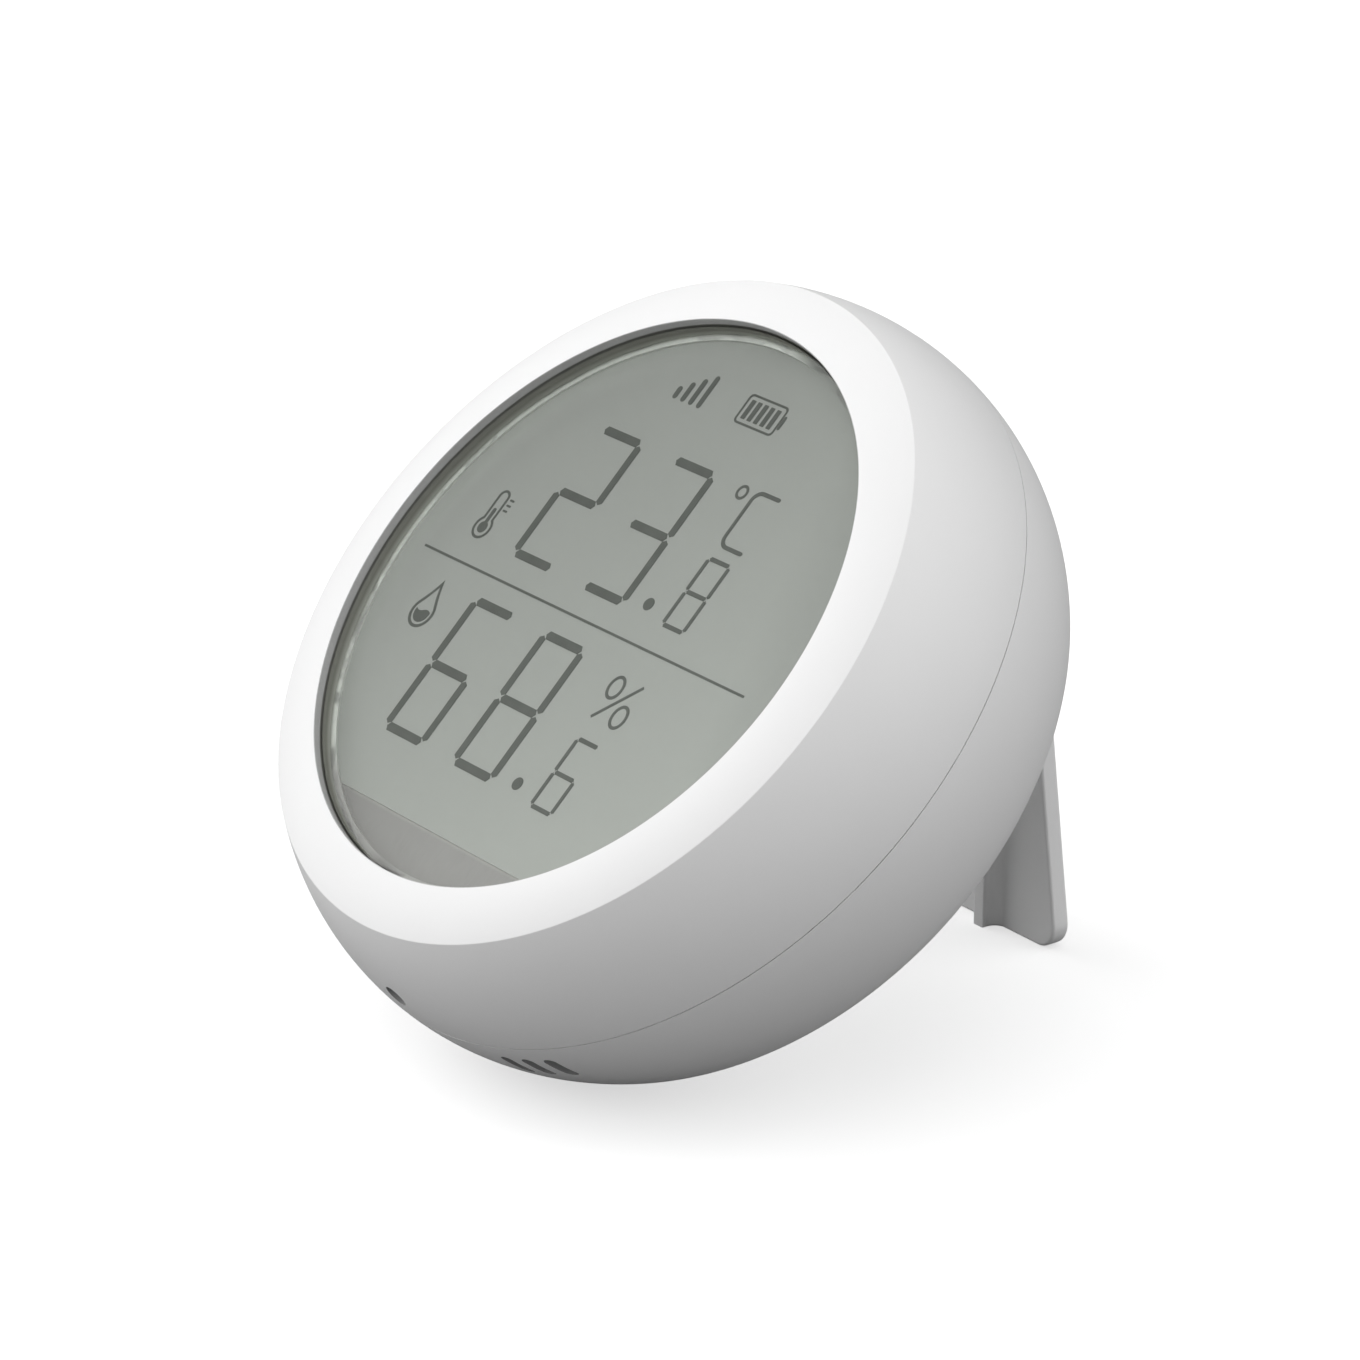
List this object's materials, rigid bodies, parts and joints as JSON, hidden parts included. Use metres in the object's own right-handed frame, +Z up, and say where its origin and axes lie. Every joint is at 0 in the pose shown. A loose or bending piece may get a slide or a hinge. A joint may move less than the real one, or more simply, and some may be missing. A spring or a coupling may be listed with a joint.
{
  "type": "desk thermometer and hygrometer",
  "caption": "Round tilted room sensor showing temperature and humidity on a segment display, with a twist-off back and a fold-out stand leg.",
  "frame": {"origin": "on the desk, under the middle of the whole object's box", "axes": "+X to the right of the display, +Z up, the display faces -Y and leans back, the stand leg is towards +Y"},
  "size_m": [0.068, 0.0668, 0.0593],
  "materials": {
    "housing_white": "fine satin moulded ABS, white",
    "stand_white": "fine satin moulded ABS, white",
    "window_clear": "clear polished acrylic",
    "tape_grey": "thin foam tape",
    "film_grey": "grey-green display film, matt anti-glare face",
    "display_glass": "thin float glass",
    "frame_grey": "moulded ABS, light grey",
    "zebra_rubber": "layered silicone strip",
    "board_green": "solder mask over glass epoxy",
    "shield_tin": "tinned sheet",
    "chip_black": "moulded epoxy",
    "button_black": "nylon",
    "chassis_white": "moulded ABS, unpolished",
    "steel": "bright zinc plated",
    "contact_nickel": "nickel plated spring steel",
    "cell_wrap": "plain printed sleeve over a steel can, counted at the density of a filled cell"
  },
  "bodies": {
    "housing": {"front_shell": "housing_white", "window": "window_clear", "window_tape": "tape_grey", "front_polariser": "film_grey", "lcd_glass": "display_glass", "rear_polariser": "film_grey", "display_frame": "frame_grey", "zebra_strip": "zebra_rubber", "main_board": "board_green", "radio_board": "board_green", "radio_shield": "shield_tin", "display_driver": "chip_black", "crystal": "shield_tin", "board_passives": "chip_black", "sensor_board": "board_green", "climate_sensor": "chip_black", "button_switch": "chip_black", "chassis": "chassis_white", "chassis_screws": "steel", "battery_upper": "cell_wrap", "battery_lower": "cell_wrap", "contact_positive": "contact_nickel", "contact_negative": "contact_nickel", "contact_bridge": "contact_nickel", "spring_upper": "contact_nickel", "spring_lower": "contact_nickel"},
    "rear_cover": {"rear_shell": "housing_white", "hinge_pin": "steel"},
    "stand": {"stand_leg": "stand_white"},
    "button": {"reset_button": "button_black"}
  },
  "joints": [
    {"name": "cover_twist", "type": "hinge", "parent": "housing", "child": "rear_cover", "pos_m": [0, -0.01166, 0.0388], "axis": [0, 0.6872, -0.7265], "range_deg": [0, 15]},
    {"name": "stand_fold", "type": "hinge", "parent": "rear_cover", "child": "stand", "pos_m": [0, 0.03145, 0.03528], "axis": [1, 0, 0], "range_deg": [-44.6, 0]},
    {"name": "reset_press", "type": "slide", "parent": "housing", "child": "button", "axis": [0, 0.7265, 0.6872], "range_m": [0, 0.00025], "stiffness_N_per_m": 6000}
  ]
}
